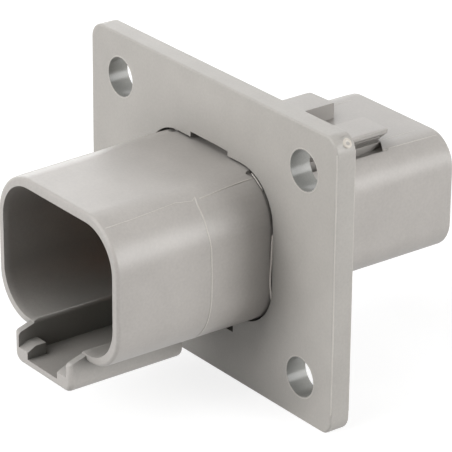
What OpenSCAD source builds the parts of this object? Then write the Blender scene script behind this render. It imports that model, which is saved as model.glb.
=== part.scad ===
// Sealed four-way automotive connector: the flanged receptacle half, with its contacts, lock and seal.
// Millimetres. The mating axis is Y: the shroud opens towards -Y, the wires leave towards +Y, +Z is up.
// The origin is where that axis meets the front face of the mounting flange.

/* [Mounting flange] */
// Width of the flange plate
flange_w = 50.4; // [47:0.1:60]
// Height of the flange plate
flange_h = 39.4; // [36:0.1:50]
// Thickness of the flange plate
flange_t = 3; // [2.6:0.1:5]
// Corner radius of the plate's outline
flange_corner_r = 2.2; // [1:0.1:4]
// Rounding of the plate's outer edges
flange_edge_r = 0.3; // [0.1:0.05:0.6]
// Distance between the screw holes, side to side
hole_pitch_x = 38.1; // [36:0.05:41]
// Distance between the screw holes, up and down
hole_pitch_z = 27.94; // [25:0.01:30]
// Diameter of the screw holes
hole_d = 5.3; // [4:0.1:6]
// Open gap between the body and the front of the flange's window
window_gap = 0.3; // [0.1:0.05:0.5]
// Depth of the close-fitting land at the back of the window, where the plate is bonded to the body
bond_land = 1.2; // [0.6:0.1:1.6]
// Width of the locating slot above the body
top_key_w = 7.75; // [5:0.05:9]
// Height of the locating slot above the body
top_key_h = 1; // [0.7:0.05:1.6]
// Width of the locating slot below the body
bottom_key_w = 10.6; // [8:0.1:12]
// Height of the locating slot below the body
bottom_key_h = 2.8; // [1.2:0.1:3.4]
// Play of the body's keys in their slots
key_play = 0.2; // [0.1:0.05:0.4]
// How far the body reaches its full size ahead of the bonding land
collar_lead = 0.9; // [0.2:0.1:1.5]

/* [Shroud] */
// From the flange's front face to the rim of the shroud
shroud_len = 23.3; // [21:0.1:30]
// Width of the shroud's cavity
cavity_w = 23.2; // [22:0.1:26]
// Height of the shroud's cavity
cavity_h = 17.4; // [16.5:0.1:20]
// Corner radius of the shroud's cavity
cavity_r = 5.3; // [4:0.1:6]
// How far the cavity's middle lies below the axis
cavity_drop = 0.2; // [0:0.05:0.4]
// Wall of the shroud behind the lead-in
shroud_wall = 1.3; // [1:0.05:2]
// Widening of the cavity at its mouth
lead_in = 0.2; // [0.1:0.05:0.4]
// Depth of the lead-in
lead_in_depth = 0.95; // [0.3:0.05:1.5]
// Rounding of the rim's outer edge
rim_edge_r = 0.45; // [0.2:0.05:0.7]
// Outer corner radius at the rim, above
rim_top_r = 6.6; // [5.5:0.1:7]
// Outer corner radius at the rim, below
rim_bottom_r = 6; // [5.5:0.1:7]
// How far the rim's middle lies below the axis
rim_drop = 0.1; // [0:0.05:0.3]
// Outer corner radius of the body at the flange
body_r = 6.3; // [5.5:0.1:7]
// How much taller the body is at the flange than at the rim, from its moulding draft
draft_growth = 0.8; // [0.4:0.05:1.4]
// From the flange's front face to the floor of the shroud's cavity
bulkhead_y = 2; // [1:0.1:5]

/* [Keyway] */
// Width of the latch keyway, inside
keyway_w = 10.4; // [8.6:0.1:11]
// Side wall of the keyway
keyway_wall = 0.95; // [0.8:0.05:1.2]
// From the axis down to the keyway's underside
keyway_drop = 14.05; // [13.4:0.05:16]
// Thickness of the keyway's floor
keyway_floor = 1.1; // [0.8:0.05:1.3]
// How far the keyway reaches past the shroud's rim
keyway_reach = 2.4; // [1:0.1:4]
// From the flange's front face to the keyway's closed end
keyway_end = 8.4; // [5:0.1:12]
// How far the keyway's side walls reach up past the underside of the rim
keyway_rise = 0.8; // [0.3:0.05:1]
// How far the side walls fall from the rim to the keyway's front
keyway_fall = 0.75; // [0.3:0.05:1.2]
// Corner radius along the keyway's underside
keyway_r = 1.4; // [0.8:0.05:1.6]
// Rounding of the edges round the keyway's two ends
keyway_end_r = 0.6; // [0.2:0.05:0.7]
// Rounding of the edges between the keyway and the cavity's floor
keyway_edge_r = 0.5; // [0.2:0.05:0.7]
// Width of each latch hook, from its wall
hook_w = 1.95; // [1:0.05:2.2]
// Length of a latch hook
hook_len = 2.8; // [2.2:0.1:3.6]
// Height of a latch hook above the keyway's floor
hook_h = 1.6; // [1.2:0.05:2]
// Height of a latch hook's nose
hook_nose_h = 0.95; // [0.5:0.05:1.1]
// Length of the ramp on a latch hook
hook_ramp = 1.3; // [0.8:0.1:1.8]

/* [Rear body] */
// From the flange's back face to the rear end of the body
rear_len = 27.8; // [26:0.1:36]
// Width of the rear body
rear_w = 22.9; // [21.5:0.1:25]
// Height of the rear body
rear_h = 16.2; // [15.4:0.1:18.5]
// Corner radius of the rear body
rear_r = 4.3; // [3:0.1:5]
// How far the rear body's middle lies below the axis
rear_drop = 0.25; // [0:0.05:0.5]
// Rounding of the rear end's outer edge
rear_edge_r = 0.3; // [0.1:0.05:0.5]
// Wall round the seal pocket
pocket_wall = 1.4; // [1:0.05:1.7]
// Depth of the seal pocket
pocket_depth = 8; // [7:0.1:9]
// Length of the full-size collar behind the flange
collar_len = 3; // [1:0.1:6]

/* [Clip rails] */
// From the flange's back face to the rear end of the rails
rail_len = 19.7; // [12:0.1:19.7]
// Clear width between the two rails
rail_gap = 5.9; // [4.5:0.1:7]
// Width of each rail across its top
rail_w = 4.95; // [4:0.05:5.4]
// Height of the rails above the rear body
rail_h = 2.15; // [1.4:0.05:2.4]
// How far each rail's outer side is undercut
rail_undercut = 1.85; // [0.8:0.05:2.2]
// Height of the rail's lip above its undercut
rail_lip = 0.5; // [0.45:0.05:0.8]
// Rounding of the rail's lip
rail_lip_r = 0.4; // [0.1:0.05:0.4]
// Flat strip between a rail's foot and its clip slot
slot_strip = 0.75; // [0.4:0.05:1]
// Width of each clip slot
slot_w = 2; // [1:0.1:2.2]
// Depth of each clip slot
slot_depth = 1.6; // [0.8:0.1:1.8]
// From the rails' rear end to the end of the clip slots
slot_short = 0.2; // [0:0.1:3]

/* [Contacts] */
// Distance between the contacts, side to side
pitch_x = 8; // [7:0.1:8.6]
// Distance between the rows of contacts
pitch_z = 7; // [6.8:0.1:7.4]
// Diameter of a contact's pin
pin_d = 1.58; // [1.2:0.02:1.7]
// How far a pin stands out from the cavity's floor
pin_reach = 9.2; // [6:0.1:12]
// Diameter of a contact's shoulders
shoulder_d = 2.9; // [2.6:0.05:3]
// Length of a contact's front shoulder
shoulder_len = 1.2; // [0.8:0.1:1.6]
// Diameter of a contact's locking groove
groove_d = 1.9; // [1.7:0.05:2]
// Length of a contact's locking groove
groove_len = 2; // [1.6:0.1:2.4]
// Length of a contact's solid middle, behind the groove
middle_len = 4.6; // [3:0.1:6]
// Outer diameter of the crimp barrel
barrel_d = 2.6; // [2.2:0.05:2.6]
// Length of the crimp barrel
barrel_len = 6.4; // [5:0.1:8]
// Diameter of the barrel's wire hole
barrel_bore_d = 1.7; // [1.2:0.05:1.8]
// Diameter of the barrel's inspection hole
peep_d = 0.8; // [0.5:0.05:1]
// From the barrel's front end to the middle of its inspection hole
peep_set = 1; // [0.8:0.1:2]
// Radial play of a contact in its bore
contact_play = 0.1; // [0.05:0.01:0.2]
// Radial play of a pin in the front web
web_play = 0.2; // [0.1:0.05:0.3]
// Thickness of the front web that a contact's shoulder rests on
web_t = 1.2; // [0.8:0.1:1.6]
// Diameter of the feed bore behind the contact
feed_d = 3.6; // [3.4:0.05:3.8]
// Room between a contact's rear end and the feed bore
contact_spare = 0.5; // [0.2:0.1:1.5]

/* [Wedge lock] */
// Thickness of the wedge lock's face plate
wedge_plate_t = 2; // [1.4:0.1:2.6]
// Width of the face plate
wedge_w = 15.4; // [14.6:0.1:17]
// Height of the face plate
wedge_h = 12; // [11.6:0.1:14]
// Corner radius of the face plate
wedge_r = 1.6; // [0.6:0.1:2.4]
// Thickness of the tongue between the locking fingers
tongue_t = 1.5; // [1.2:0.05:1.6]
// Length of the tongue
tongue_len = 7.5; // [6:0.1:8.4]
// Width of a side leg of the lock
leg_w = 3; // [2:0.1:4]
// Thickness of a side leg of the lock
leg_t = 0.9; // [0.6:0.05:1.1]
// Length of a side leg of the lock
leg_len = 4; // [2.5:0.1:6]
// Radial play round each pin in the face plate
wedge_play = 0.5; // [0.3:0.05:0.8]
// Play of the legs and the tongue in the body
leg_play = 0.1; // [0.05:0.01:0.2]
// Width of the grip slot in the face plate
grip_w = 5; // [3:0.1:5.2]
// Height of the grip slot in the face plate
grip_h = 1.2; // [0.6:0.1:2]
// Depth of the grip slot in the face plate
grip_depth = 1; // [0.4:0.1:1.2]

/* [Locking fingers] */
// Thickness of a locking finger
finger_t = 0.8; // [0.6:0.05:0.9]
// Width of a locking finger
finger_w = 2.2; // [1.6:0.1:2.6]
// Depth of the finger slot behind the front web
finger_len = 7; // [5:0.1:9]
// Play between the fingers and the tongue
finger_play = 0.12; // [0.08:0.01:0.2]
// Open gap beside the fingers, at the ends of their slot
finger_side_gap = 0.5; // [0.3:0.05:0.7]
// Open gap behind a finger, on the contact's side
finger_gap = 0.38; // [0.3:0.02:0.42]
// Length of the nib at a finger's tip
nib_len = 1.2; // [0.8:0.1:1.4]

/* [Wire seal] */
// How far the seal lies inside the rear end
seal_recess = 0.6; // [0.3:0.1:1.5]
// Height of the seal's outer lips
seal_lip_h = 0.4; // [0.2:0.05:0.6]
// Number of outer lips
seal_lips = 3; // [2:1:4]
// Diameter of a wire hole at its lips
wire_lip_d = 2; // [1.4:0.1:2.2]
// Length of each lip in a wire hole
wire_lip_len = 0.8; // [0.5:0.1:1.1]
// Diameter of a wire hole between its lips
wire_hole_d = 3; // [2.6:0.1:3.2]

/* [Gate mark] */
// Diameter of the moulding gate's mark on the flange
gate_d = 1.15; // [0.8:0.05:1.6]
// How far the gate mark stands proud
gate_h = 0.15; // [0.05:0.05:0.3]

/* [Hidden] */
$fn = 64;
// Overlap by which a cut runs past a face
past = 1;
// Steps round each corner of a lofted section
corner_steps = 14;
// Angle between the sections that round off an edge
edge_step = 22.5;
// Overlap of joined volumes
weld = 0.2;

// Where things lie along the axis
rim_y = -shroud_len;
keyway_front_y = rim_y - keyway_reach;
floor_y = -bulkhead_y;
land_y = flange_t - bond_land;
collar_y = land_y - collar_lead;
collar_end_y = flange_t + collar_len;
rear_y = flange_t + rear_len;
pocket_y = rear_y - pocket_depth;
rail_end_y = flange_t + rail_len;
slot_end_y = rail_end_y - slot_short;

// Outline of the body at the rim and at the flange
body_w = cavity_w + 2 * shroud_wall;
rim_h = cavity_h + 2 * shroud_wall;
body_h = rim_h + draft_growth;
cavity_floor_z = -cavity_h / 2 - cavity_drop;
keyway_wall_z = -rim_h / 2 - rim_drop + keyway_rise;
keyway_out_w = keyway_w + 2 * keyway_wall;
keyway_floor_z = -keyway_drop + keyway_floor;

// Rear body and its rails
rear_top = rear_h / 2 - rear_drop;
rail_x = rail_gap / 2;
rail_foot_x = rail_x + rail_w - rail_undercut;
slot_x = rail_foot_x + slot_strip;
pocket_w = rear_w - 2 * pocket_wall;
pocket_h = rear_h - 2 * pocket_wall;
pocket_r = rear_r - pocket_wall;

// Stations of a contact along its axis
wedge_y = floor_y - wedge_plate_t;
pin_tip_y = floor_y - pin_reach;
shoulder_y = floor_y + web_t;
groove_y = shoulder_y + shoulder_len;
middle_y = groove_y + groove_len;
barrel_y = middle_y + middle_len;
contact_end_y = barrel_y + barrel_len;
contact_bore_d = shoulder_d + 2 * contact_play;
web_bore_d = pin_d + 2 * web_play;
feed_y = contact_end_y + contact_spare;
tip_r = pin_d / 2;

// Locking fingers, from the middle plane outwards
finger_in_z = tongue_t / 2 + finger_play;
finger_out_z = finger_in_z + finger_t;
finger_root_y = groove_y + finger_len;
finger_slot_w = pitch_x + finger_w + 2 * finger_side_gap;
finger_slot_h = 2 * (finger_out_z + finger_gap);
nib_y = groove_y + contact_play;
nib_top_z = pitch_z / 2 - groove_d / 2 - contact_play;
window_w = finger_w + 2 * contact_play;

// Inner face of the wedge lock's side legs
leg_x = wedge_w / 2 - leg_t;

// Colours
GREY_BODY = [0.66, 0.645, 0.625];
GREY_FLANGE = [0.64, 0.63, 0.61];
ORANGE = [0.85, 0.42, 0.12];
PLATED = [0.78, 0.72, 0.55];
SILICONE = [0.74, 0.3, 0.16];

// Sections across the axis: width, height, upper and lower corner radius, how far the middle is dropped
RIM = [body_w, rim_h, rim_top_r, rim_bottom_r, rim_drop];
ROOT = [body_w, body_h, body_r, body_r, 0];
CAVITY = [cavity_w, cavity_h, cavity_r, cavity_r, cavity_drop];
KEYWAY = [keyway_out_w, 2 * (keyway_wall_z + keyway_drop), keyway_r, keyway_r, -keyway_wall_z];
REAR = [rear_w, rear_h, rear_r, rear_r, rear_drop];
PLATE = [flange_w, flange_h, flange_corner_r, flange_corner_r, 0];

CONTACT_PLACES = [for (s = [1, -1]) for (t = [-1, 1]) [t * pitch_x / 2, s * pitch_z / 2]];

// Rounded rectangle about the origin
module rounded(w, h, r) {
    square([w - 2 * r, h], center = true);
    square([w, h - 2 * r], center = true);
    for (sx = [-1, 1], sz = [-1, 1])
        translate([sx * (w / 2 - r), sz * (h / 2 - r)])
            circle(r);
}

// Section in the XZ plane, run along the axis from y0 to y1
module along(y0, y1) {
    translate([0, y1, 0])
        rotate([90, 0, 0])
            linear_extrude(y1 - y0)
                children();
}

// Section in the YZ plane, run across the body for a width, about the middle
module across(w) {
    translate([-w / 2, 0, 0])
        rotate([90, 0, 90])
            linear_extrude(w)
                children();
}

// Section with its outline moved outwards
function grown(s, by) = [s[0] + 2 * by, s[1] + 2 * by, s[2] + by, s[3] + by, s[4]];

// Points of a section's outline in the plane at y
function ring(y, s) = [
    for (q = [0 : 3], i = [0 : corner_steps])
        let (a = 90 * (q + i / corner_steps), r = s[q < 2 ? 2 : 3])
            [
                (q % 3 == 0 ? 1 : -1) * (s[0] / 2 - r) + r * cos(a),
                y,
                (q < 2 ? 1 : -1) * (s[1] / 2 - r) + r * sin(a) - s[4]
            ]
];

// Rings of a rounded edge of radius e that grows from the face at y, towards +Y or -Y by way
function edge_rings(y, way, s, e) = [
    for (a = [0 : edge_step : 90])
        ring(y + way * e * (1 - cos(a)), grown(s, -e * (1 - sin(a))))
];

function reversed(list) = [for (i = [len(list) - 1 : -1 : 0]) list[i]];

// Solid skin through a list of rings, from the lowest y to the highest
module loft(rings) {
    n = len(rings[0]);
    last = len(rings) - 1;
    sides = [
        for (k = [0 : last - 1], i = [0 : n - 1])
            let (a = k * n + i, b = k * n + (i + 1) % n)
                each [[a, b, b + n], [a, b + n, a + n]]
    ];
    caps = [[for (i = [n - 1 : -1 : 0]) i], [for (i = [0 : n - 1]) last * n + i]];
    polyhedron([for (r = rings) each r], concat(caps, sides));
}

// Round bar along the axis
module bar(y0, y1, d) {
    translate([0, y1, 0])
        rotate([90, 0, 0])
            cylinder(h = y1 - y0, d = d);
}

// Children at each contact's place
module each_contact() {
    for (p = CONTACT_PLACES)
        translate([p[0], 0, p[1]])
            children();
}

// Outside of the body: rounded at the rim, tapered by its draft up to the collar
module body_outside() {
    loft(concat(edge_rings(rim_y, 1, RIM, rim_edge_r), [ring(collar_y, ROOT), ring(collar_end_y, ROOT)]));
}

// Outside of the rear body, rounded at its rear end
module rear_outside() {
    loft(concat([ring(collar_end_y - past, REAR)], reversed(edge_rings(rear_y, -1, REAR, rear_edge_r))));
}

// Cavity of the shroud, flared by the lead-in at its mouth
module shroud_cavity() {
    flare = lead_in * (1 + past / lead_in_depth);
    loft([ring(rim_y - past, grown(CAVITY, flare)), ring(rim_y + lead_in_depth, CAVITY), ring(floor_y, CAVITY)]);
}

// Side view of the latch keyway: its walls' tops fall from the rim to a round front corner
module keyway_side() {
    slope = atan2(keyway_fall, keyway_reach);
    r = keyway_end_r;
    front_top = keyway_wall_z - keyway_fall;
    nose_y = keyway_front_y + r;
    nose_z = front_top + r * tan(slope) - r / cos(slope);
    low_z = -keyway_drop - past;
    polygon([
        [keyway_front_y, low_z],
        [keyway_front_y, nose_z],
        [nose_y - r * sin(slope), nose_z + r * cos(slope)],
        [rim_y, keyway_wall_z],
        [-keyway_end + past, keyway_wall_z],
        [-keyway_end + past, low_z]
    ]);
    translate([nose_y, nose_z])
        circle(r);
}

// Outside of the latch keyway: a round-cornered section with rounded ends, trimmed to its side view
module keyway_outside() {
    intersection() {
        loft(concat(
            edge_rings(keyway_front_y, 1, KEYWAY, keyway_end_r),
            reversed(edge_rings(-keyway_end, -1, KEYWAY, keyway_end_r))
        ));
        across(keyway_out_w + past)
            keyway_side();
    }
}

// Room inside the keyway, open to the front and, past rounded edges, to the cavity
module keyway_room() {
    y0 = keyway_front_y - past;
    y1 = -keyway_end - keyway_wall;
    r = keyway_edge_r;
    along(y0, y1)
        translate([-keyway_w / 2, keyway_floor_z])
            square([keyway_w, cavity_floor_z - keyway_floor_z + past]);
    difference() {
        along(y0, y1)
            translate([-keyway_w / 2 - r, cavity_floor_z - r])
                square([keyway_w + 2 * r, r + past]);
        for (s = [-1, 1])
            translate([s * (keyway_w / 2 + r), 0, cavity_floor_z - r])
                bar(y0 - past, y1 + past, 2 * r);
    }
}

// Hook at the keyway's mouth that catches the mating latch, one against each wall
module latch_hook() {
    y0 = keyway_front_y;
    z0 = keyway_floor_z - weld;
    translate([-keyway_w / 2 - weld, 0, 0])
        rotate([90, 0, 90])
            linear_extrude(hook_w + weld)
                polygon([
                    [y0, z0],
                    [y0, keyway_floor_z + hook_nose_h],
                    [y0 + hook_ramp, keyway_floor_z + hook_h],
                    [y0 + hook_len, keyway_floor_z + hook_h],
                    [y0 + hook_len, z0]
                ]);
}

// Section of one clip rail: an overhanging, rounded lip on an undercut foot
module rail_section() {
    top = rear_top + rail_h;
    lip_x = rail_x + rail_w;
    polygon([
        [rail_x, rear_top - weld],
        [rail_x, top],
        [lip_x - rail_lip_r, top],
        [lip_x, top - rail_lip_r],
        [lip_x, top - rail_lip],
        [rail_foot_x, rear_top],
        [rail_foot_x, rear_top - weld]
    ]);
    translate([lip_x - rail_lip_r, top - rail_lip_r])
        circle(rail_lip_r);
}

// Groove beside a rail that takes the edge of a mounting clip
module clip_slot() {
    along(collar_end_y, slot_end_y)
        translate([slot_x, rear_top - slot_depth])
            square([slot_w, slot_depth + past]);
}

// Locking finger with its nib, at a contact's side of the middle plane
module locking_finger() {
    along(nib_y, finger_root_y + weld)
        translate([-finger_w / 2, finger_in_z])
            square([finger_w, finger_t]);
    translate([-finger_w / 2, 0, 0])
        rotate([90, 0, 90])
            linear_extrude(finger_w)
                polygon([
                    [nib_y, finger_out_z - weld],
                    [nib_y, nib_top_z],
                    [nib_y + nib_len / 3, nib_top_z],
                    [nib_y + nib_len, finger_out_z - weld]
                ]);
}

// One contact's way through the body: web bore, contact bore and feed bore
module contact_way() {
    bar(floor_y - past, shoulder_y + weld, web_bore_d);
    bar(shoulder_y, feed_y + weld, contact_bore_d);
    bar(feed_y, pocket_y + past, feed_d);
}

// Slot that the fingers bend into and the tongue fills
module finger_slot() {
    along(floor_y - past, finger_root_y)
        square([finger_slot_w, finger_slot_h], center = true);
}

// Openings that let the nibs reach the contacts' grooves
module nib_windows() {
    window_h = pitch_z - groove_d;
    for (s = [-1, 1])
        translate([s * pitch_x / 2 - window_w / 2, nib_y - contact_play, -window_h / 2])
            cube([window_w, nib_len + 2 * contact_play, window_h]);
}

// Pockets for the wedge lock's side legs
module leg_pockets() {
    for (s = [-1, 1])
        translate([s * (leg_x + leg_t / 2), floor_y - past, 0])
            translate([-leg_t / 2 - leg_play, 0, -leg_w / 2 - leg_play])
                cube([leg_t + 2 * leg_play, leg_len + past + 2 * leg_play, leg_w + 2 * leg_play]);
}

// The body's locating keys, inside the flange's slots
module flange_keys() {
    along(collar_y, collar_end_y) {
        translate([-top_key_w / 2 + key_play, 0])
            square([top_key_w - 2 * key_play, body_h / 2 + top_key_h - key_play]);
        translate([-bottom_key_w / 2 + key_play, -body_h / 2 - bottom_key_h + key_play])
            square([bottom_key_w - 2 * key_play, body_h / 2]);
    }
}

module housing() {
    color(GREY_BODY)
        union() {
            difference() {
                union() {
                    body_outside();
                    rear_outside();
                    keyway_outside();
                    flange_keys();
                    along(collar_end_y - weld, rail_end_y) {
                        rail_section();
                        mirror([1, 0])
                            rail_section();
                    }
                }
                shroud_cavity();
                keyway_room();
                translate([0, 0, -rear_drop])
                    along(pocket_y, rear_y + past)
                        rounded(pocket_w, pocket_h, pocket_r);
                each_contact()
                    contact_way();
                finger_slot();
                nib_windows();
                leg_pockets();
                clip_slot();
                mirror([1, 0, 0])
                    clip_slot();
            }
            latch_hook();
            mirror([1, 0, 0])
                latch_hook();
            for (p = CONTACT_PLACES)
                translate([p[0], 0, 0])
                    mirror([0, 0, p[1] > 0 ? 0 : 1])
                        locking_finger();
        }
}

// Round mark of the moulding gate, on the plate's upper right corner
module gate_mark() {
    reach = flange_corner_r + gate_h;
    translate([flange_w / 2 - flange_corner_r, flange_t / 2, flange_h / 2 - flange_corner_r])
        rotate([0, 45, 0])
            cylinder(h = reach, d = gate_d);
}

// Flange plate with its outer edges rounded
module flange_plate() {
    loft(concat(
        edge_rings(0, 1, PLATE, flange_edge_r),
        reversed(edge_rings(flange_t, -1, PLATE, flange_edge_r))
    ));
}

module mounting_flange() {
    color(GREY_FLANGE)
        difference() {
            union() {
                flange_plate();
                gate_mark();
            }
            along(-past, land_y)
                rounded(body_w + 2 * window_gap, body_h + 2 * window_gap, body_r + window_gap);
            loft([ring(0, ROOT), ring(flange_t + past, ROOT)]);
            along(-past, flange_t + past) {
                translate([-top_key_w / 2, 0])
                    square([top_key_w, body_h / 2 + top_key_h]);
                translate([-bottom_key_w / 2, -body_h / 2 - bottom_key_h])
                    square([bottom_key_w, body_h / 2]);
            }
            for (sx = [-1, 1], sz = [-1, 1])
                translate([sx * hole_pitch_x / 2, 0, sz * hole_pitch_z / 2])
                    bar(-past, flange_t + past, hole_d);
        }
}

// Lock that is pushed in behind the contacts' fingers: face plate, tongue and two side legs
module wedge_lock() {
    color(ORANGE)
        difference() {
            union() {
                along(wedge_y, floor_y)
                    rounded(wedge_w, wedge_h, wedge_r);
                along(floor_y - weld, floor_y + tongue_len)
                    square([finger_slot_w - 4 * leg_play, tongue_t], center = true);
                for (s = [-1, 1])
                    translate([s * (leg_x + leg_t / 2), floor_y - weld, 0])
                        translate([-leg_t / 2, 0, -leg_w / 2])
                            cube([leg_t, leg_len + weld, leg_w]);
            }
            each_contact()
                bar(wedge_y - past, floor_y + past, pin_d + 2 * wedge_play);
            along(wedge_y - past, wedge_y + grip_depth)
                square([grip_w, grip_h], center = true);
        }
}

// Turned contact: round-nosed pin, shoulder, locking groove, solid middle and crimp barrel
module contact() {
    color(PLATED)
        difference() {
            union() {
                bar(pin_tip_y + tip_r, shoulder_y + weld, pin_d);
                translate([0, pin_tip_y + tip_r, 0])
                    sphere(r = tip_r);
                bar(shoulder_y, groove_y, shoulder_d);
                bar(groove_y - weld, middle_y + weld, groove_d);
                bar(middle_y, barrel_y, shoulder_d);
                bar(barrel_y - weld, contact_end_y, barrel_d);
            }
            bar(barrel_y + weld, contact_end_y + past, barrel_bore_d);
            translate([0, barrel_y + peep_set, 0])
                cylinder(h = barrel_d, d = peep_d);
        }
}

module contact_at(i) {
    translate([CONTACT_PLACES[i][0], 0, CONTACT_PLACES[i][1]])
        contact();
}

module contact_1() {
    contact_at(0);
}

module contact_2() {
    contact_at(1);
}

module contact_3() {
    contact_at(2);
}

module contact_4() {
    contact_at(3);
}

// Soft block that fills the rear pocket, with lips round it and in its four wire holes
module wire_seal() {
    end_y = rear_y - seal_recess;
    length = end_y - pocket_y;
    lip_pitch = length / seal_lips;
    lip_len = lip_pitch / 2;
    color(SILICONE)
        difference() {
            translate([0, 0, -rear_drop]) {
                along(pocket_y, end_y)
                    rounded(pocket_w - 2 * seal_lip_h, pocket_h - 2 * seal_lip_h, pocket_r - seal_lip_h);
                for (i = [0 : seal_lips - 1])
                    let (mid_y = pocket_y + (i + 0.5) * lip_pitch)
                        along(mid_y - lip_len / 2, mid_y + lip_len / 2)
                            rounded(pocket_w, pocket_h, pocket_r);
            }
            each_contact() {
                bar(pocket_y - past, end_y + past, wire_lip_d);
                bar(pocket_y - past, pocket_y + wire_lip_len, wire_hole_d);
                bar(pocket_y + 2 * wire_lip_len, end_y - 2 * wire_lip_len, wire_hole_d);
                bar(end_y - wire_lip_len, end_y + past, wire_hole_d);
            }
        }
}

housing();
mounting_flange();
wedge_lock();
wire_seal();
contact_1();
contact_2();
contact_3();
contact_4();
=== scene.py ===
"""Sealed automotive connector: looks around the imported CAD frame. Metres, the frame's own axes."""
import math

import bmesh
import bpy
from mathutils import Matrix, Vector
from mathutils.bvhtree import BVHTree


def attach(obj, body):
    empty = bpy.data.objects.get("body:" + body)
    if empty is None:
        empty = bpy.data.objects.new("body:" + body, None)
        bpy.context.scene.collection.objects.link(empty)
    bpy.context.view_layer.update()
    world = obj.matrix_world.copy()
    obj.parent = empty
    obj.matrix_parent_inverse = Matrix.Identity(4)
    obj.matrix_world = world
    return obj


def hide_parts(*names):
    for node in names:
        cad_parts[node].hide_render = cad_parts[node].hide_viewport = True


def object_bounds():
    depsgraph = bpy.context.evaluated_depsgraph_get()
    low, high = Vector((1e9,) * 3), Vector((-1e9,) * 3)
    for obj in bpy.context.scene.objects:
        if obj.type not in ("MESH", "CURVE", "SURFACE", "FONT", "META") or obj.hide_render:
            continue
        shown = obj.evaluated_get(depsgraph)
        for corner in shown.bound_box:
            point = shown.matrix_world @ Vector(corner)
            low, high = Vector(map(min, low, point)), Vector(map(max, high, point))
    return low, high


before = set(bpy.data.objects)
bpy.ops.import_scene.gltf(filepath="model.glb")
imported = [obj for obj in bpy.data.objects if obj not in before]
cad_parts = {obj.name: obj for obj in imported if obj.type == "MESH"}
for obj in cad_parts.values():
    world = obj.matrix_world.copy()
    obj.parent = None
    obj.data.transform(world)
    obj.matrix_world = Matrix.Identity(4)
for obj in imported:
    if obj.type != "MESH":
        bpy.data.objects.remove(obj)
cad_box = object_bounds()

# A millimetre in metres, and two directions of the frame
MM = 0.001
FRONT = Vector((0, -1, 0))
RIGHT = Vector((1, 0, 0))

# Camera: the photograph's view of the part. Angles are in degrees, lens and sensor in mm, and the offset is
# how far the frame's origin lies right of and above the picture's middle
VIEW_AZIMUTH = 52.519
VIEW_ELEVATION = 24.265
VIEW_ROLL = 0.506
VIEW_DISTANCE = 390.607 * MM
VIEW_OFFSET = (-2.243 * MM, 0.269 * MM)
LENS = 244.96
SENSOR_WIDTH = 36
CLIP_START, CLIP_END = 0.01, 10

# Floor: half width, colour, glow and roughness
FLOOR_HALF = 1.5
FLOOR_GREY = 0.36
FLOOR_WHITE = 0.80
FLOOR_ROUGHNESS = 0.9

# Soft boxes: width, distance, and for each its name, azimuth and elevation in degrees and power in watts
SOFTBOX_SIZE = 0.35
SOFTBOX_DISTANCE = 0.6
SOFTBOXES = [
    ("front", -10, 15, 2.14),
    ("left_high", -60, 58, 1.03),
    ("high", 0, 58, 0.75),
    ("right", 105, 22, 1.04),
    ("right_back", 120, 15, 1.76),
    ("left_back", 225, 30, 0.47),
    ("left_fill", 250, 8, 0.9),
]

# Linear colour and roughness of each material
BODY_LOOK = ((0.500, 0.474, 0.447), 0.39)
FLANGE_LOOK = ((0.488, 0.466, 0.435), 0.45)
BORE_LOOK = ((0.520, 0.520, 0.490), 0.20)
WEDGE_LOOK = ((0.44, 0.12, 0.028), 0.40)
SILICONE_LOOK = ((0.48, 0.085, 0.04), 0.55)
PLATING_LOOK = ((0.80, 0.74, 0.60), 0.28)
FLASH_LOOK = ((0.80, 0.75, 0.69), 0.40)
SEAM_LOOK = ((0.62, 0.59, 0.55), 0.40)
SCAR_LOOK = ((0.68, 0.63, 0.56), 0.35)

# Mottling of the plastics: size and detail of its two noises, the part of their sum that is used, and the
# darkest and lightest share of the colour
CLOUDS = (5 * MM, 3)
GRAIN = (0.35 * MM, 2)
MOTTLE_RANGE = (0.6, 1.4)
MOTTLE_SHARES = (0.93, 1.07)

# Surface of the plastics: size and detail of each noise, strength and depth of its bump, and how far the
# roughness varies
WAVES, WAVE_BUMP = (7 * MM, 1), (0.5, 0.03 * MM)
TEXTURE, TEXTURE_BUMP = (0.16 * MM, 2), (0.5, 0.007 * MM)
SATIN_SPREAD = 0.06

# Painted shade, darkening the colour in recesses and close to other pieces: how far walls and neighbours
# are looked for, what is left of the colour in the shroud's cavity, on the plate and elsewhere, and where
# it changes, along the part and away from its axis
SHADE_SAMPLES = 6
RECESS_SHADE_REACH = 22 * MM
CONTACT_SHADE_REACH = 7.5 * MM
CAVITY_SHADE = (0.25, 0.28, 0.275)
FLANGE_SHADE = 0.38
OPEN_SHADE = 0.62
CAVITY_SHADE_EDGE = (-3 * MM, -1 * MM)
CONTACT_SHADE_FADE = (20 * MM, 28 * MM)

# Powdery bloom of the silicone
BLOOM_WEIGHT = 0.35
BLOOM_ROUGHNESS = 0.4

# Plated pins: pitch, wobble and bump of the turning marks, size and detail of the noises of the tarnish and
# the polish, shares of the colour, and how far the roughness varies. A wave texture's phase runs over 20
# radians in a metre at a scale of 1
WAVE_PHASE = 20
RING_PITCH = 0.15 * MM
RING_WOBBLE = 0.4
RING_BUMP = (0.4, 0.004 * MM)
TARNISH, TARNISH_SHARES = (1.5 * MM, 3), (0.80, 1.05)
POLISH, POLISH_SPREAD = (0.3 * MM, 2), 0.08

# Rounding of the moulded edges: radii, steps and profile, where 0.5 is round, and what counts as sharp, as
# flat and as one point
EDGE_R = 0.10 * MM
WEDGE_EDGE_R = 0.12 * MM
PIN_EDGE_R = 0.06 * MM
EDGE_STEPS, EDGE_PROFILE = 2, 0.5
SHARP_ANGLE = math.radians(28)
FLAT_ANGLE = math.radians(0.3)
WELD = 0.002 * MM

# Small departures of the moulded part from the plain solids, in mm

# How close a point of the solids has to be to a place to count as lying there
NEAR = 0.01

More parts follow.
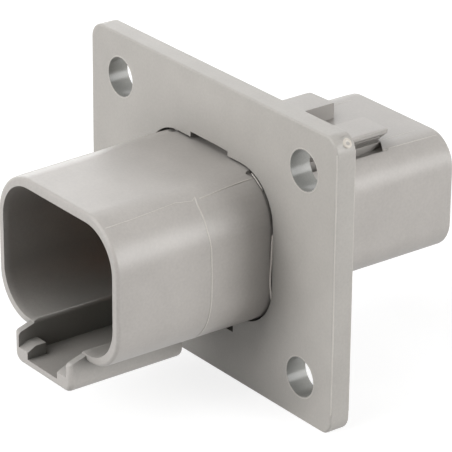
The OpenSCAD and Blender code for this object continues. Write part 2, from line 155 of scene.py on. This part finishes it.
# Plate: middle and radius of its corners, how much larger its outline is, and how far its gate mark moves
# back
PLATE_CORNER = (23, 17.5)
PLATE_CORNER_R = 2.2
CORNER_MARGIN = 0.2
PLATE_GROWTH = {"left": 0.36, "right": 0.05, "top": 0.18, "bottom": 0.30}
GATE_SHIFT = 0.45

# Locating key above the body: its front, the least height and largest half width of its points, and how far
# its left and right ends are sunk
KEY_FRONT, KEY_LOW, KEY_HALF = 0.9, 10.39, 3.7
KEY_SUNK = {"left": 0.8, "right": 0.25}

# Clip slots: rear end, inner and outer side, how much shorter the outer side is, and the level below which
# the floor rises at the end, and by how much
SLOT_END = 22.5
SLOT_SIDES = (6.8, 8.8)
SLOT_SHORTER = 1.3
SLOT_FLOOR, SLOT_RISE = 6.3, 0.8

# Clip rails: rear end, where the left one's outer corner starts to be round and its radius, where the lips
# lie, and what is left of their thickness
RAIL_END = 22.7
ROUND_START, RAIL_ROUND = 6.9, 1.0
LIP_SIDE, LIP_LOW, LIP_TOP = 7.4, 9.4, 10.0
LIP_SHARE = 0.28

# Rear body: end of the collar before it, its own outline and that of its rails, the places outside its
# pocket, how far its bottom and its top are lifted, and from where it is longer and by how much
COLLAR_END, COLLAR_MARGIN = 6.0, 0.05
REAR_HALF, REAR_LOW, REAR_TOP = 11.45, -8.35, 7.85
RAILS_HALF = 8
OUTSIDE_HALF, OUTSIDE_LOW, OUTSIDE_TOP = 10.1, -7, 6.5
REAR_LIFT = (0.12, 0.20)
GROWTH_START, REAR_GROWTH = 30.4, 0.2

# Seams and flash: step between the points, how deep the foot is sunk, the points of the section as share of
# the width and whether they are raised, and the share of the height at an end and how it grows per step
SEAM_STEP = 0.35 * MM
SEAM_SINK = 0.04 * MM
FLASH_SINK = 0.08 * MM
RIDGE_SECTION = [(-0.5, False), (-0.25, True), (0.25, True), (0.5, False)]
RIDGE_START, RIDGE_GROWTH = 0.2, 0.3

# Mould seams of the body's right half: width, height and points in mm
BODY_SEAMS = {
    "ring_seam": (0.34, 0.05, [
        (9.3, -9.2, 9.55), (10.3, -9.5, 8.9), (11.5, -9.55, 7.75), (12.4, -9.6, 6.1), (12.9, -9.3, 3.9),
        (12.9, -9.15, 0), (12.9, -9.2, -3.1), (12.7, -9.5, -5.5), (11.9, -9.7, -7.5), (11, -9.75, -8.5),
        (9.5, -9.7, -9.4), (6.6, -9.6, -10)]),
    "front_seam": (0.18, 0.035, [
        (9.65, -23, 8.98), (9.64, -19.1, 9.08), (9.5, -15.4, 9.25), (9.37, -12.2, 9.41), (9.6, -11, 9.32),
        (9.8, -9.9, 9.24), (9.4, -9.3, 9.48)]),
    "back_seam": (0.26, 0.05, [
        (9.75, -9, 9.3), (9.74, -7.8, 9.32), (9.65, -6.6, 9.4), (9.53, -5.1, 9.51), (9.43, -2.1, 9.64),
        (9.43, -0.3, 9.68)]),
    "rail_seam": (0.16, 0.025, [(6.5, 22.9, 7.85), (6.5, 28.5, 7.85)]),
    "corner_seam": (0.20, 0.03, [(8.55, 21.6, 7.57), (8.75, 30.4, 7.54)]),
}

# Flash left in the open gap round the body, and burrs on the plate's right edge: width, height and points
# in mm
FLASH = {
    "gap_strand": (0.16, 0.10, [
        (8.75, 0, 10.0), (9.3, 0, 9.78), (9.9, 0, 9.45), (10.5, 0, 9.0), (11.05, 0, 8.5)]),
    "gap_lip": (0.24, 0.20, [
        (13.13, 0, 3.2), (13.16, 0, 1.9), (13.12, 0, 0.5), (13.05, 0, -0.9), (12.97, 0, -1.9),
        (12.93, 0, -3), (12.96, 0, -3.8), (13.06, 0, -4.5), (13.04, 0, -5.6)]),
}
BURRS = {
    "front_burr": (0.34, 0.025, [
        (25.18, 0.1, 18), (25.2, 0.12, 12), (25.18, 0.12, 4), (25.21, 0.12, -6), (25.18, 0.1, -17)]),
    "back_burr": (0.16, 0.02, [(25.19, 2.88, 18), (25.19, 2.88, 2), (25.19, 2.88, -17)]),
}

# Chips in the body's edge at its two upper corners: side, then depth and front in mm, each by the angle in
# degrees round the corner's centre
CORNER_CENTRE = (6.6, 4.1)
CHIPS = [
    (1, [(76, 0.0), (73, 0.34), (62, 0.30), (50, 0.26), (40, 0.10), (10, 0.10), (0, 0.0)],
     [(76, -0.2), (73, -0.7), (70, -0.65), (65, -0.25), (0, -0.2)]),
    (-1, [(86, 0.0), (84, 0.25), (78, 0.25), (74, 0.0)],
     [(86, -0.2), (84, -0.55), (78, -0.5), (74, -0.2)]),
]
CHIP_STEPS = 60
CHIP_BACK = 0.7 * MM

# How far outside the body the cutter of the chips reaches, and how far out the search for the body starts
CHIP_PAST = 0.1 * MM
CHIP_SEARCH = 20 * MM

# Round scar on the gate mark: profile of radius and height in mm, its place in mm and its tilt in degrees
SCAR_PROFILE = [(0.16, -0.03), (0.3, 0.05), (0.46, 0.06), (0.58, 0.02), (0.66, -0.08)]
SCAR_PLACE = (24.92, 1.84, 19.10)
SCAR_TILT = 53
SCAR_STEPS = 24

# Screw holes in mm: places, radius, and radius, width, height and steps of the burr round their front
HOLE_X, HOLE_Z, HOLE_R = 19.05, 13.97, 2.65
HOLE_SIDES = {"top_left": (-1, 1), "top_right": (1, 1), "low_left": (-1, -1), "low_right": (1, -1)}
RIM_R = 2.80
RIM_SIZE = (0.14, 0.02)
RIM_STEPS = 60

# Faces of a screw hole: how far past its radius in mm they lie, their largest area in square metres, and
# how much the wall and the rounded rim may face along the hole, from 0 to 1
HOLE_MARGIN = 0.15
HOLE_FACE = 4e-6
WALL_FACING, RIM_FACING = 0.15, 0.99

CONTACTS = 4


def link(name, mesh):
    """New object that shows the mesh and rides on the rigid body."""
    piece = bpy.data.objects.new(name, mesh)
    bpy.context.scene.collection.objects.link(piece)
    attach(piece, "root")
    return piece


def smooth_mesh(name, verts, faces, material):
    """New mesh of one material, shaded smooth."""
    mesh = bpy.data.meshes.new(name)
    mesh.from_pydata(verts, [], faces)
    mesh.materials.append(material)
    for face in mesh.polygons:
        face.use_smooth = True
    return mesh


def surface(node_name):
    """Search tree over a CAD node's faces, to set small features on them."""
    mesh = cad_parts[node_name].data
    return BVHTree.FromPolygons([v.co for v in mesh.vertices], [p.vertices for p in mesh.polygons])


def toward(azimuth, elevation):
    """Direction by angles in degrees; azimuth 0 is in front of the shroud, 90 is on the +X side."""
    a, e = math.radians(azimuth), math.radians(elevation)
    return Vector((math.sin(a) * math.cos(e), -math.cos(a) * math.cos(e), math.sin(e)))


def graded(table, at):
    """Value of a table of (place, value) pairs between its rows, and 0 past its ends."""
    for (a, u), (b, v) in zip(table, table[1:]):
        if min(a, b) <= at <= max(a, b):
            return u + (v - u) * (at - a) / (b - a)
    return 0


def node(tree, kind, links=(), **values):
    """New shader node with the given settings and socket values, and links from (socket, source)."""
    made = tree.nodes.new(kind)
    for key, value in values.items():
        if hasattr(made, key):
            setattr(made, key, value)
        else:
            made.inputs[key.replace("_", " ").title()].default_value = value
    for socket, source in links:
        tree.links.new(source, made.inputs[socket])
    return made


def noise(tree, place, size, detail):
    """Noise whose features are about the given size in metres, from 0 to 1."""
    return node(tree, "ShaderNodeTexNoise", [("Vector", place)], scale=1 / size,
                detail=detail).outputs["Fac"]


def blend(tree, factor, a, b):
    """Mix of two colours, each a list of numbers or another node's output, by a factor."""
    mix = node(tree, "ShaderNodeMix", [("Factor", factor)], data_type="RGBA")
    for name, colour in (("A", a), ("B", b)):
        socket = [s for s in mix.inputs if s.name == name and s.type == "RGBA"][0]
        if isinstance(colour, list):
            socket.default_value = (*colour, 1)
        else:
            tree.links.new(colour, socket)
    return [s for s in mix.outputs if s.type == "RGBA"][0]


def ramped(tree, value, low=0.0, high=1.0, start=0.0, end=1.0):
    """The value carried from the range low to high over to the range start to end, and held past it."""
    return node(tree, "ShaderNodeMapRange", [("Value", value)], from_min=low, from_max=high,
                to_min=start, to_max=end).outputs[0]


def combined(tree, operation, a, b):
    """Two outputs taken together by a maths node."""
    return node(tree, "ShaderNodeMath", [(0, a), (1, b)], operation=operation).outputs[0]


def bumped(tree, height, bump, links=()):
    """Normal with a bump by the height; the bump is a strength and a depth."""
    strength, depth = bump
    return node(tree, "ShaderNodeBump", [("Height", height), *links], strength=strength,
                distance=depth).outputs[0]


def shade(colour, share):
    """The colour times one share, or times a share for each channel."""
    shares = share if isinstance(share, tuple) else (share, share, share)
    return [c * s for c, s in zip(colour, shares)]


def new_material(name):
    """New material, with its node tree, its shader and the object's own coordinates."""
    material = bpy.data.materials.new(name)
    material.use_nodes = True
    tree = material.node_tree
    return material, tree, tree.nodes["Principled BSDF"], node(tree, "ShaderNodeTexCoord").outputs["Object"]


def mottled(tree, place, grain, colour):
    """The colour with a faint cloudy and fine mottling."""
    both = combined(tree, "ADD", noise(tree, place, *CLOUDS), grain)
    low, high = MOTTLE_SHARES
    return blend(tree, ramped(tree, both, *MOTTLE_RANGE), shade(colour, low), shade(colour, high))


def painted_shade(tree, place, colour, surface_colour, shade_share):
    """The surface's colour with painted shade: darker in recesses and close to other pieces."""
    # Painted shade: ambient occlusion darkens the base colour in recesses, and near other pieces except far
    # from the part's axis
    recess_shade = node(tree, "ShaderNodeAmbientOcclusion", samples=SHADE_SAMPLES, distance=RECESS_SHADE_REACH,
                  only_local=True).outputs["AO"]
    contact = node(tree, "ShaderNodeAmbientOcclusion", samples=SHADE_SAMPLES,
                   distance=CONTACT_SHADE_REACH).outputs["AO"]
    along = node(tree, "ShaderNodeSeparateXYZ", [("Vector", place)]).outputs["Y"]
    across = node(tree, "ShaderNodeVectorMath", [(0, place)], operation="MULTIPLY")
    across.inputs[1].default_value = (1, 0, 1)
    radius = node(tree, "ShaderNodeVectorMath", [(0, across.outputs[0])],
                  operation="LENGTH").outputs["Value"]
    clear = combined(tree, "MAXIMUM", contact, ramped(tree, radius, *CONTACT_SHADE_FADE))
    deep_shade = blend(tree, ramped(tree, along, *CAVITY_SHADE_EDGE), shade(colour, CAVITY_SHADE), shade(colour, shade_share))
    near = blend(tree, clear, shade(colour, shade_share), surface_colour)
    return blend(tree, recess_shade, deep_shade, near)


def moulded(name, colour, roughness, shade_share=OPEN_SHADE):
    """Moulded thermoplastic: mottled and satin, with a fine texture on a slightly wavy surface, and with
    painted shade in its recesses and close to other pieces.
    """
    material, tree, shader, place = new_material(name)
    grain = noise(tree, place, *GRAIN)
    shaded = painted_shade(tree, place, colour, mottled(tree, place, grain, colour), shade_share)
    sheen = ramped(tree, grain, start=roughness - SATIN_SPREAD, end=roughness + SATIN_SPREAD)
    wavy = bumped(tree, noise(tree, place, *WAVES), WAVE_BUMP)
    fine = bumped(tree, noise(tree, place, *TEXTURE), TEXTURE_BUMP, [("Normal", wavy)])
    tree.links.new(shaded, shader.inputs["Base Color"])
    tree.links.new(sheen, shader.inputs["Roughness"])
    tree.links.new(fine, shader.inputs["Normal"])
    return material


def rubbery(name, colour, roughness):
    """Moulded silicone: as the plastic, with a soft powdery bloom."""
    material = moulded(name, colour, roughness)
    shader = material.node_tree.nodes["Principled BSDF"]
    shader.inputs["Sheen Weight"].default_value = BLOOM_WEIGHT
    shader.inputs["Sheen Roughness"].default_value = BLOOM_ROUGHNESS
    return material


def turned(name, colour, roughness):
    """Turned and plated metal: fine rings round the pin's axis and a faintly uneven tarnish."""
    material, tree, shader, place = new_material(name)
    shader.inputs["Metallic"].default_value = 1
    low, high = TARNISH_SHARES
    tinted = blend(tree, noise(tree, place, *TARNISH), shade(colour, low), shade(colour, high))
    sheen = ramped(tree, noise(tree, place, *POLISH), start=roughness - POLISH_SPREAD,
                   end=roughness + POLISH_SPREAD)
    rings = node(tree, "ShaderNodeTexWave", [("Vector", place)], wave_type="BANDS", bands_direction="Y",
                 scale=2 * math.pi / (WAVE_PHASE * RING_PITCH), distortion=RING_WOBBLE).outputs["Fac"]
    tree.links.new(tinted, shader.inputs["Base Color"])
    tree.links.new(sheen, shader.inputs["Roughness"])
    tree.links.new(bumped(tree, rings, RING_BUMP), shader.inputs["Normal"])
    return material


def carved(mesh, cutter):
    """The mesh less the cutter."""
    pieces = [bpy.data.objects.new("carving", m) for m in (mesh, cutter)]
    for piece in pieces:
        bpy.context.scene.collection.objects.link(piece)
    cut = pieces[0].modifiers.new("cut", "BOOLEAN")
    cut.operation = "DIFFERENCE"
    cut.object = pieces[1]
    graph = bpy.context.evaluated_depsgraph_get()
    result = bpy.data.meshes.new_from_object(pieces[0].evaluated_get(graph), depsgraph=graph)
    for piece in pieces:
        bpy.data.objects.remove(piece)
    return result


def skin(node_name, material, edge_r=EDGE_R, shape=None, cutter=None):
    """Copy of a CAD node with its sharp edges rounded and its curves smooth, which stands for the node."""
    bm = bmesh.new()
    bm.from_mesh(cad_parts[node_name].data)
    if shape:
        for vert in bm.verts:
            vert.co = Vector(shape(*(vert.co / MM))) * MM
    bmesh.ops.remove_doubles(bm, verts=bm.verts, dist=WELD)
    bmesh.ops.dissolve_limit(bm, angle_limit=FLAT_ANGLE, verts=bm.verts, edges=bm.edges)
    sharp = [e for e in bm.edges if e.is_manifold and e.calc_face_angle() > SHARP_ANGLE]
    bmesh.ops.bevel(bm, geom=sharp, offset=edge_r, segments=EDGE_STEPS, profile=EDGE_PROFILE,
                    affect="EDGES", clamp_overlap=True)
    for face in bm.faces:
        face.smooth = True
        face.material_index = 0
    mesh = bpy.data.meshes.new(node_name + "_skin")
    bm.to_mesh(mesh)
    bm.free()
    if cutter:
        mesh = carved(mesh, cutter)
    mesh.materials.append(material)
    piece = link(node_name + "_skin", mesh)
    piece.modifiers.new("normals", "WEIGHTED_NORMAL").keep_sharp = True
    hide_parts(node_name)
    return piece


def sunk_key(x, y, z):
    """A point of the housing, set back if it is on the locating key's front."""
    if abs(y - KEY_FRONT) < NEAR and z > KEY_LOW and abs(x) < KEY_HALF:
        y += KEY_SUNK["left" if x < 0 else "right"]
    return x, y, z


def slanted_slot(x, y, z):
    """A point of the housing; the clip slots' ends are slanted, with a floor that rises."""
    if abs(y - SLOT_END) < NEAR:
        inner, outer = SLOT_SIDES
        y -= SLOT_SHORTER * min(1, max(0, (abs(x) - inner) / (outer - inner)))
        z += SLOT_RISE if z < SLOT_FLOOR else 0
    return x, y, z


def thin_rail(x, y, z):
    """A point of the housing; the rails' lips are thinner, and the left one's outer corner is round."""
    if abs(y - RAIL_END) < NEAR and x < -LIP_SIDE:
        y -= RAIL_ROUND * (1 - math.sqrt(max(0, 1 - ((-x - ROUND_START) / RAIL_ROUND) ** 2)))
    if y > COLLAR_END + COLLAR_MARGIN and abs(x) > LIP_SIDE and z > LIP_LOW:
        z = LIP_TOP - LIP_SHARE * (LIP_TOP - z)
    return x, y, z


def grown_rear(x, y, z):
    """A point of the housing; the rear body, from where it leaves the collar, is higher and longer."""
    outside = z > OUTSIDE_TOP or z < OUTSIDE_LOW or abs(x) > OUTSIDE_HALF
    in_body = abs(x) < REAR_HALF + NEAR and REAR_LOW - NEAR < z < REAR_TOP + NEAR
    in_rails = abs(x) < RAILS_HALF and 0 < z < LIP_TOP + NEAR
    behind = y > COLLAR_END + COLLAR_MARGIN
    joining = y > COLLAR_END - COLLAR_MARGIN and (in_body or in_rails)
    if outside and (behind or joining):
        low, high = REAR_LIFT
        z += low + (high - low) * (z - REAR_LOW) / (REAR_TOP - REAR_LOW)
    if y > GROWTH_START:
        y += REAR_GROWTH
    return x, y, z


def fitted_housing(x, y, z):
    """A point of the housing with all its small departures from the solid, in mm."""
    for fit in (sunk_key, slanted_slot, thin_rail, grown_rear):
        x, y, z = fit(x, y, z)
    return x, y, z


def grown_flange(x, y, z):
    """A point of the plate in mm: the outline a little larger, its gate mark a little further back."""
    middle_x, middle_z = PLATE_CORNER
    if abs(x) > middle_x - CORNER_MARGIN and abs(z) > middle_z - CORNER_MARGIN:
        if math.hypot(abs(x) - middle_x, abs(z) - middle_z) > PLATE_CORNER_R + NEAR:
            y += GATE_SHIFT
        x += PLATE_GROWTH["right"] if x > 0 else -PLATE_GROWTH["left"]
        z += PLATE_GROWTH["top"] if z > 0 else -PLATE_GROWTH["bottom"]
    return x, y, z


def chip_lines(tree, side, depth, front):
    """Inner and outer line of a chip's front, by the angle round the corner's centre."""
    x, z = CORNER_CENTRE
    start, end = depth[0][0], depth[-1][0]
    inner, outer = [], []
    for k in range(CHIP_STEPS + 1):
        angle = start + (end - start) * k / CHIP_STEPS
        out = Vector((side * math.cos(math.radians(angle)), 0, math.sin(math.radians(angle))))
        centre = Vector((side * x, graded(front, angle), z)) * MM
        edge = tree.ray_cast(centre + CHIP_SEARCH * out, -out)[0]
        inner.append(edge - MM * graded(depth, angle) * out)
        outer.append(edge + CHIP_PAST * out)
    return inner, outer


def chips():
    """Cutter that opens the gap a little beside the body's upper corners."""
    tree = surface("housing")
    verts, faces = [], []
    for side, depth, front in CHIPS:
        inner, outer = chip_lines(tree, side, depth, front)
        ring = inner + outer[::-1]
        n, first = len(ring), len(verts)
        walls = [(k, k + n, (k + 1) % n + n, (k + 1) % n) for k in range(n)]
        near = [(k, k + 1, n - 2 - k, n - 1 - k) for k in range(len(inner) - 1)]
        far = [tuple(i + n for i in reversed(face)) for face in near]
        for face in walls + near + far:
            faces.append([first + i for i in (face if side > 0 else reversed(face))])
        verts += ring + [Vector((p.x, CHIP_BACK, p.z)) for p in ring]
    mesh = bpy.data.meshes.new("chips")
    mesh.from_pydata(verts, [], faces)
    return mesh


def add_housing():
    """The body, with its chipped corners."""
    skin("housing", moulded("body_plastic", *BODY_LOOK), shape=fitted_housing, cutter=chips())


def mark_bores(mesh, bore, rim):
    """Gives the walls of the screw holes and their rounded rims their own materials."""
    mesh.materials.append(bore)
    mesh.materials.append(rim)
    for face in mesh.polygons:
        x, z = abs(face.center.x) / MM - HOLE_X, abs(face.center.z) / MM - HOLE_Z
        if math.hypot(x, z) < HOLE_R + HOLE_MARGIN and face.area < HOLE_FACE:
            facing = abs(face.normal.y)
            face.material_index = 1 if facing < WALL_FACING else 2 if facing < RIM_FACING else 0


def add_plate(rim_plastic):
    """The mounting plate, with smoother walls in its screw holes."""
    # The plate and its bores get their own share of painted shade in recesses and near the body
    flange_plastic = moulded("flange_plastic", *FLANGE_LOOK, FLANGE_SHADE)
    plate = skin("mounting_flange", flange_plastic, shape=grown_flange)
    mark_bores(plate.data, moulded("bore_plastic", *BORE_LOOK, FLANGE_SHADE), rim_plastic)


def divided(points):
    """Points in mm as places in metres, with more between them."""
    ends = [Vector(p) * MM for p in points]
    places = []
    for a, b in zip(ends, ends[1:]):
        count = max(1, round((b - a).length / SEAM_STEP))
        places += [a.lerp(b, k / count) for k in range(count)]
    return places + [ends[-1]]


def mirrored(points):
    """The same points on the other side of the middle plane."""
    return [(-x, y, z) for x, y, z in points]


def ridge(name, places, width, height, slot, material, sink=SEAM_SINK):
    """Thin raised seam along places with their normals; width and height in mm."""
    verts, faces = [], []
    last = len(places) - 1
    for i, (place, normal) in enumerate(places):
        ahead = places[min(i + 1, last)][0] - places[max(i - 1, 0)][0]
        side = ahead.cross(normal).normalized() * width * MM
        share = min(1, RIDGE_START + RIDGE_GROWTH * min(i, last - i))
        for across, raised in RIDGE_SECTION:
            lift = share * height * MM if raised else -sink
            verts.append(place + across * side + lift * normal)
    count = len(RIDGE_SECTION)
    for a in range(0, count * last, count):
        for k in range(count):
            m = (k + 1) % count
            faces.append((a + k, a + m, a + count + m, a + count + k))
    faces.append(tuple(reversed(range(count))))
    faces.append(tuple(count * last + k for k in range(count)))
    piece = link(name, smooth_mesh(name, verts, faces, material))


def add_seams(material):
    """Parting seams of the body, on both its sides."""
    tree = surface("housing")
    for name, (width, height, points) in BODY_SEAMS.items():
        for side, path in (("_right", points), ("_left", mirrored(points))):
            found = [tree.find_nearest(place)[:2] for place in divided(path)]
            places = [(Vector(fitted_housing(*(place / MM))) * MM, normal) for place, normal in found]
            ridge(name + side, places, width, height, "housing", material)


def add_flash(material):
    """Strands of flash in the gap."""
    for name, (width, height, points) in FLASH.items():
        ridge(name, [(p, FRONT) for p in divided(points)], width, height, "housing", material, FLASH_SINK)


def add_burrs(material):
    """Burrs on the plate's right edge."""
    for name, (width, height, points) in BURRS.items():
        ridge(name, [(p, RIGHT) for p in divided(points)], width, height, "flange", material)


def add_hole_rims(material):
    """Thin raised burr round the front of each screw hole."""
    turns = [2 * math.pi * k / RIM_STEPS for k in range(RIM_STEPS + 1)]
    circle = [(RIM_R * math.cos(t), RIM_R * math.sin(t)) for t in turns]
    for name, (side, height) in HOLE_SIDES.items():
        ring = [Vector((side * HOLE_X + x, 0, height * HOLE_Z + z)) * MM for x, z in circle]
        ridge("hole_rim_" + name, [(p, FRONT) for p in ring], *RIM_SIZE, "flange", material)


def add_gate_scar():
    """Pale ring where the plate's gate was broken off."""
    turns = [2 * math.pi * k / SCAR_STEPS for k in range(SCAR_STEPS)]
    verts = [MM * Vector((r * math.cos(t), r * math.sin(t), h)) for r, h in SCAR_PROFILE for t in turns]
    faces = [tuple(range(SCAR_STEPS))]
    for row in range(len(SCAR_PROFILE) - 1):
        for k in range(SCAR_STEPS):
            a, b = row * SCAR_STEPS + k, row * SCAR_STEPS + (k + 1) % SCAR_STEPS
            faces.append((a, a + SCAR_STEPS, b + SCAR_STEPS, b))
    mesh = smooth_mesh("gate_scar", verts, faces, moulded("scar_plastic", *SCAR_LOOK))
    tilt = Matrix.Rotation(math.radians(SCAR_TILT), 4, "Y")
    mesh.transform(Matrix.Translation(Vector(SCAR_PLACE) * MM) @ tilt)
    piece = link("gate_scar", mesh)


def add_wedge_lock():
    """The orange wedge lock behind the contacts' fingers."""
    skin("wedge_lock", moulded("wedge_plastic", *WEDGE_LOOK), WEDGE_EDGE_R)


def add_wire_seal():
    """The silicone seal in the rear pocket."""
    skin("wire_seal", rubbery("silicone", *SILICONE_LOOK))


def add_contacts():
    """The plated pins, all of one material."""
    plating = turned("plating", *PLATING_LOOK)
    for i in range(1, CONTACTS + 1):
        skin(f"contact_{i}", plating, PIN_EDGE_R)


def make_part():
    """All the part's pieces."""
    seam_plastic = moulded("seam_plastic", *SEAM_LOOK)
    add_housing()
    add_plate(seam_plastic)
    add_seams(seam_plastic)
    add_flash(moulded("flash_plastic", *FLASH_LOOK))
    add_burrs(seam_plastic)
    add_hole_rims(seam_plastic)
    add_gate_scar()
    add_wedge_lock()
    add_wire_seal()
    add_contacts()


def make_camera():
    """Camera that matches the photograph."""
    back = toward(VIEW_AZIMUTH, VIEW_ELEVATION)
    level = toward(VIEW_AZIMUTH + 90, 0)
    upright = back.cross(level)
    c, s = math.cos(math.radians(VIEW_ROLL)), math.sin(math.radians(VIEW_ROLL))
    right, up = c * level + s * upright, c * upright - s * level
    place = VIEW_DISTANCE * back - VIEW_OFFSET[0] * right - VIEW_OFFSET[1] * up
    data = bpy.data.cameras.new("camera")
    data.lens = LENS
    data.sensor_width = SENSOR_WIDTH
    data.clip_start = CLIP_START
    data.clip_end = CLIP_END
    camera = bpy.data.objects.new("camera", data)
    camera.matrix_world = Matrix.Translation(place) @ Matrix((right, up, back)).transposed().to_4x4()
    bpy.context.scene.collection.objects.link(camera)
    bpy.context.scene.camera = camera


def seen(tree):
    """1 for rays that should see a white background: from the camera, in gloss and through glass."""
    rays = node(tree, "ShaderNodeLightPath").outputs
    plain = combined(tree, "MAXIMUM", rays["Is Camera Ray"], rays["Is Glossy Ray"])
    return combined(tree, "MAXIMUM", plain, rays["Is Transmission Ray"])


def make_floor():
    """Grey floor under the part, which glows white to the rays that see a white background."""
    z, h = cad_box[0].z, FLOOR_HALF
    mesh = bpy.data.meshes.new("floor")
    mesh.from_pydata([(-h, -h, z), (h, -h, z), (h, h, z), (-h, h, z)], [], [(0, 1, 2, 3)])
    floor = bpy.data.objects.new("floor", mesh)
    bpy.context.scene.collection.objects.link(floor)
    material = bpy.data.materials.new("floor")
    material.use_nodes = True
    tree = material.node_tree
    shader = tree.nodes["Principled BSDF"]
    shader.inputs["Base Color"].default_value = (FLOOR_GREY, FLOOR_GREY, FLOOR_GREY, 1)
    shader.inputs["Roughness"].default_value = FLOOR_ROUGHNESS
    shader.inputs["Emission Color"].default_value = (1, 1, 1, 1)
    tree.links.new(ramped(tree, seen(tree), end=FLOOR_WHITE), shader.inputs["Emission Strength"])
    mesh.materials.append(material)


def make_world():
    """World that is white to the rays that see a white background, and black to the others."""
    world = bpy.data.worlds.new("studio")
    bpy.context.scene.world = world
    world.use_nodes = True
    tree = world.node_tree
    background = tree.nodes["Background"]
    background.inputs["Color"].default_value = (1, 1, 1, 1)
    tree.links.new(seen(tree), background.inputs["Strength"])


def softbox(name, azimuth, elevation, power):
    """Square area light aimed at the part."""
    out = toward(azimuth, elevation)
    data = bpy.data.lights.new(name, "AREA")
    data.shape = "SQUARE"
    data.size = SOFTBOX_SIZE
    data.energy = power
    lamp = bpy.data.objects.new(name, data)
    lamp.location = SOFTBOX_DISTANCE * out
    lamp.rotation_mode = "QUATERNION"
    lamp.rotation_quaternion = out.to_track_quat("Z", "Y")
    bpy.context.scene.collection.objects.link(lamp)


make_camera()
make_floor()
make_world()
for box in SOFTBOXES:
    softbox(*box)
make_part()

bpy.context.scene.view_settings.view_transform = "Standard"
